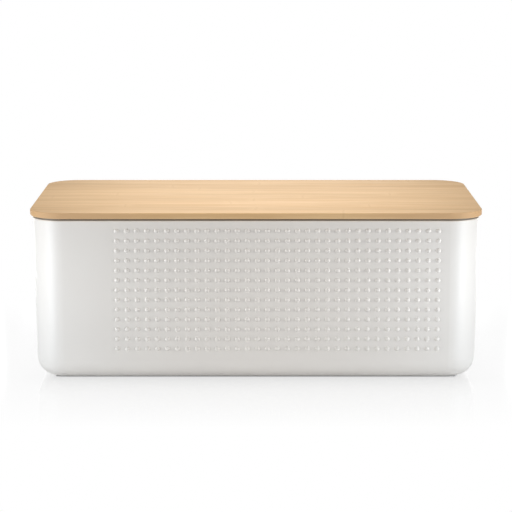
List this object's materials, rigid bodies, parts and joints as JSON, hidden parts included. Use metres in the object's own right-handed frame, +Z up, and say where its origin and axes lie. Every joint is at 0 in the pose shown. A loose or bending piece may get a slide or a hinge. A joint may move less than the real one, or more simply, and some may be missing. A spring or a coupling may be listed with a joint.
{
  "type": "bread box",
  "caption": "Long white moulded bread box with rounded corners, a slight taper and raised dots on its front, closed by a flat bamboo lid that lifts off.",
  "frame": {"origin": "on the floor, under the middle of the box", "axes": "+X along the box to the right of its dotted front, +Y to the back, +Z up; the front faces -Y"},
  "size_m": [0.454, 0.246, 0.1712],
  "materials": {
    "tub_plastic": "satin",
    "bamboo_pale": "sanded and oiled",
    "bamboo_honey": "sanded and oiled",
    "bamboo_tan": "sanded and oiled",
    "seal_silicone": "matte",
    "foot_rubber": "matte"
  },
  "bodies": {
    "box": {"tub": "tub_plastic", "foot_front_left": "foot_rubber", "foot_front_right": "foot_rubber", "foot_rear_left": "foot_rubber", "foot_rear_right": "foot_rubber"},
    "lid": {"upper_stave_01": "bamboo_honey", "upper_stave_02": "bamboo_tan", "upper_stave_03": "bamboo_honey", "upper_stave_04": "bamboo_pale", "upper_stave_05": "bamboo_honey", "upper_stave_06": "bamboo_honey", "upper_stave_07": "bamboo_pale", "upper_stave_08": "bamboo_pale", "upper_stave_09": "bamboo_honey", "upper_stave_10": "bamboo_tan", "upper_stave_11": "bamboo_honey", "upper_stave_12": "bamboo_honey", "lower_stave_01": "bamboo_honey", "lower_stave_02": "bamboo_honey", "lower_stave_03": "bamboo_tan", "lower_stave_04": "bamboo_honey", "lower_stave_05": "bamboo_pale", "lower_stave_06": "bamboo_pale", "lower_stave_07": "bamboo_honey", "lower_stave_08": "bamboo_honey", "lower_stave_09": "bamboo_pale", "lower_stave_10": "bamboo_honey", "lower_stave_11": "bamboo_tan", "lid_seal": "seal_silicone"}
  },
  "joints": [
    {"name": "lid_lift", "type": "slide", "parent": "box", "child": "lid", "axis": [0, 0, 1], "range_m": [0, 0.2]}
  ]
}
